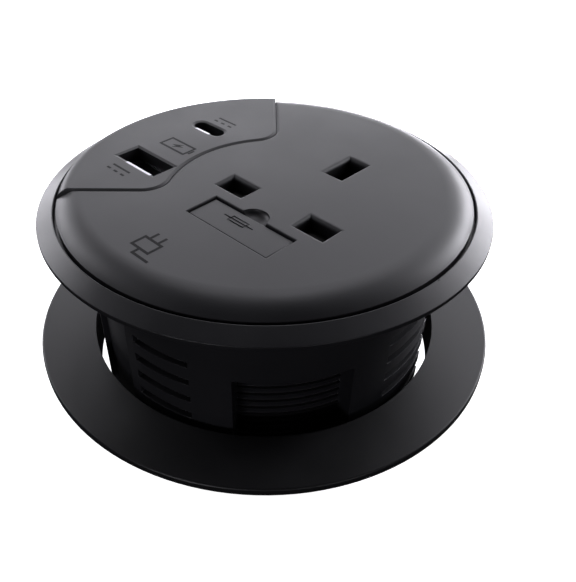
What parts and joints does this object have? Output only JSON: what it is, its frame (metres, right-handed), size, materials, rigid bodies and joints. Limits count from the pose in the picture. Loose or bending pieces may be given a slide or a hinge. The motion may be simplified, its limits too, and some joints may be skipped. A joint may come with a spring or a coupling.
{
  "type": "in-desk power module",
  "caption": "Round in-desk power module: a three-pin mains socket and USB charging ports in a bezelled face, with a ribbed barrel and a sliding clamp ring below.",
  "frame": {"origin": "centre of the barrel's foot, at the bottom of the module", "axes": "+Z out of the desk through the face; +X from the neutral to the live pin; +Y towards the earth pin"},
  "size_m": [0.1068, 0.1068, 0.058],
  "materials": {
    "housing_plastic": "moulded, fine matt texture",
    "cover_plastic": "moulded, fine matt texture",
    "insert_plastic": "moulded, fine matt texture",
    "ring_plastic": "moulded, satin",
    "inner_plastic": "moulded, glass-filled",
    "base_plastic": "moulded, matt",
    "shutter_plastic": "moulded, smooth",
    "spring_steel": "drawn wire",
    "contact_brass": "stamped strip",
    "plated_brass": "nickel-plated",
    "fuse_glass": "clear, drawn",
    "circuit_board": "green solder mask",
    "screw_steel": "zinc-plated",
    "chip_plastic": "moulded epoxy",
    "port_steel": "nickel-plated sheet",
    "port_plastic": "moulded",
    "ferrite": "sintered ferrite",
    "winding_tape": "yellow polyester tape",
    "capacitor_sleeve": "shrink sleeve",
    "film_case": "moulded case",
    "copper_wire": "enamelled wire"
  },
  "bodies": {
    "root": {"barrel_housing": "housing_plastic", "cover": "cover_plastic", "usb_insert": "insert_plastic", "socket_core": "inner_plastic", "shutter_springs": "spring_steel", "line_contact": "contact_brass", "neutral_contact": "contact_brass", "earth_contact": "contact_brass", "fuse_clips": "contact_brass", "usb_board": "circuit_board", "usb_screws": "screw_steel", "usb_chips": "chip_plastic", "usb_a_shell": "port_steel", "usb_a_tongue": "port_plastic", "usb_a_contacts": "contact_brass", "usb_c_shell": "port_steel", "usb_c_tongue": "port_plastic", "power_board": "circuit_board", "board_screws": "screw_steel", "core_screws": "screw_steel", "transformer_core": "ferrite", "transformer_winding": "winding_tape", "capacitors": "capacitor_sleeve", "film_capacitor": "film_case", "choke_core": "ferrite", "choke_winding": "copper_wire", "rectifier": "chip_plastic", "board_link_base": "port_plastic", "board_link_pins": "contact_brass", "inlet_body": "inner_plastic", "inlet_pins": "contact_brass", "base_cap": "base_plastic", "base_screws": "screw_steel"},
    "clamp_ring": {"clamp_ring": "ring_plastic"},
    "fuse": {"fuse_carrier": "cover_plastic", "fuse_tube": "fuse_glass", "fuse_caps": "plated_brass", "fuse_wire": "plated_brass"},
    "shutter": {"shutter": "shutter_plastic"}
  },
  "joints": [
    {"name": "ring_slide", "type": "slide", "parent": "root", "child": "clamp_ring", "axis": [0, 0, 1], "range_m": [-0.011, 0.017]},
    {"name": "fuse_pull", "type": "slide", "parent": "root", "child": "fuse", "axis": [0, 0, 1], "range_m": [0, 0.018]},
    {"name": "shutter_slide", "type": "slide", "parent": "root", "child": "shutter", "axis": [0, 1, 0], "range_m": [0, 0.0064], "stiffness_N_per_m": 300, "springref_m": -0.003, "deforming": ["shutter_springs"]}
  ]
}
